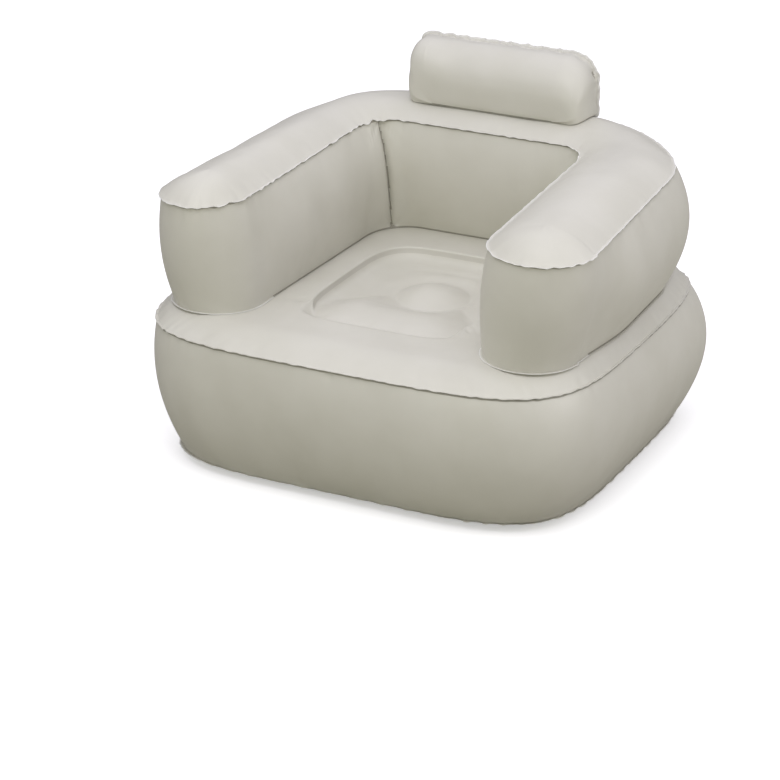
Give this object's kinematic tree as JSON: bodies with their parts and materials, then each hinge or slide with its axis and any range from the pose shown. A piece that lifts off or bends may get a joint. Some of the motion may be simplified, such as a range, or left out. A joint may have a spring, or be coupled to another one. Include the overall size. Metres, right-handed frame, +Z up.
{
  "type": "inflatable armchair",
  "caption": "Inflatable armchair with a square base chamber, a U-shaped arm and back chamber, a bolster headrest and capped air valves at the rear.",
  "frame": {"origin": "middle of the base's underside, on the floor", "axes": "+Z up, the sitter faces -Y, +X to the right as seen from the front"},
  "size_m": [1.0808, 0.9746, 0.8059],
  "materials": {
    "pvc_sheet": "satin",
    "valve_plastic": "satin",
    "flap_rubber": "matte"
  },
  "bodies": {
    "chair": {"base_side_wall": "pvc_sheet", "seat_top_panel": "pvc_sheet", "base_bottom_panel": "pvc_sheet", "seat_tension_band": "pvc_sheet", "seat_coil_beam": "pvc_sheet", "arm_back_wall": "pvc_sheet", "arm_back_top_panel": "pvc_sheet", "arm_back_foot_panel": "pvc_sheet", "corner_tie_right": "pvc_sheet", "corner_tie_left": "pvc_sheet", "headrest_front_panel": "pvc_sheet", "headrest_back_panel": "pvc_sheet", "base_valve_seat": "valve_plastic", "base_valve_insert": "valve_plastic", "back_valve_seat": "valve_plastic", "back_valve_insert": "valve_plastic", "headrest_valve_stem": "valve_plastic"},
    "base_cap": {"base_valve_cap": "valve_plastic"},
    "base_flap": {"base_valve_flap": "flap_rubber"},
    "back_cap": {"back_valve_cap": "valve_plastic"},
    "back_flap": {"back_valve_flap": "flap_rubber"},
    "headrest_cap": {"headrest_valve_cap": "valve_plastic"},
    "headrest_flap": {"headrest_valve_flap": "flap_rubber"}
  },
  "joints": [
    {"name": "base_cap_hinge", "type": "hinge", "parent": "chair", "child": "base_cap", "pos_m": [0.20307, 0.48455, 0.1922], "axis": [1, 0, 0], "range_deg": [0, 150]},
    {"name": "base_flap_hinge", "type": "hinge", "parent": "chair", "child": "base_flap", "pos_m": [0.20307, 0.46445, 0.1838], "axis": [-1, 0, 0], "range_deg": [0, 60], "stiffness_Nm_per_rad": 0.0005},
    {"name": "back_cap_hinge", "type": "hinge", "parent": "chair", "child": "back_cap", "pos_m": [-0.03811, 0.48881, 0.53477], "axis": [1, 0, 0], "range_deg": [0, 150]},
    {"name": "back_flap_hinge", "type": "hinge", "parent": "chair", "child": "back_flap", "pos_m": [-0.03811, 0.46871, 0.52637], "axis": [-1, 0, 0], "range_deg": [0, 60], "stiffness_Nm_per_rad": 0.0005},
    {"name": "headrest_cap_hinge", "type": "hinge", "parent": "chair", "child": "headrest_cap", "pos_m": [0.09, 0.47085, 0.74732], "axis": [1, 0, 0], "range_deg": [0, 150]},
    {"name": "headrest_flap_hinge", "type": "hinge", "parent": "chair", "child": "headrest_flap", "pos_m": [0.09, 0.45475, 0.74132], "axis": [-1, 0, 0], "range_deg": [0, 60], "stiffness_Nm_per_rad": 0.00005}
  ]
}
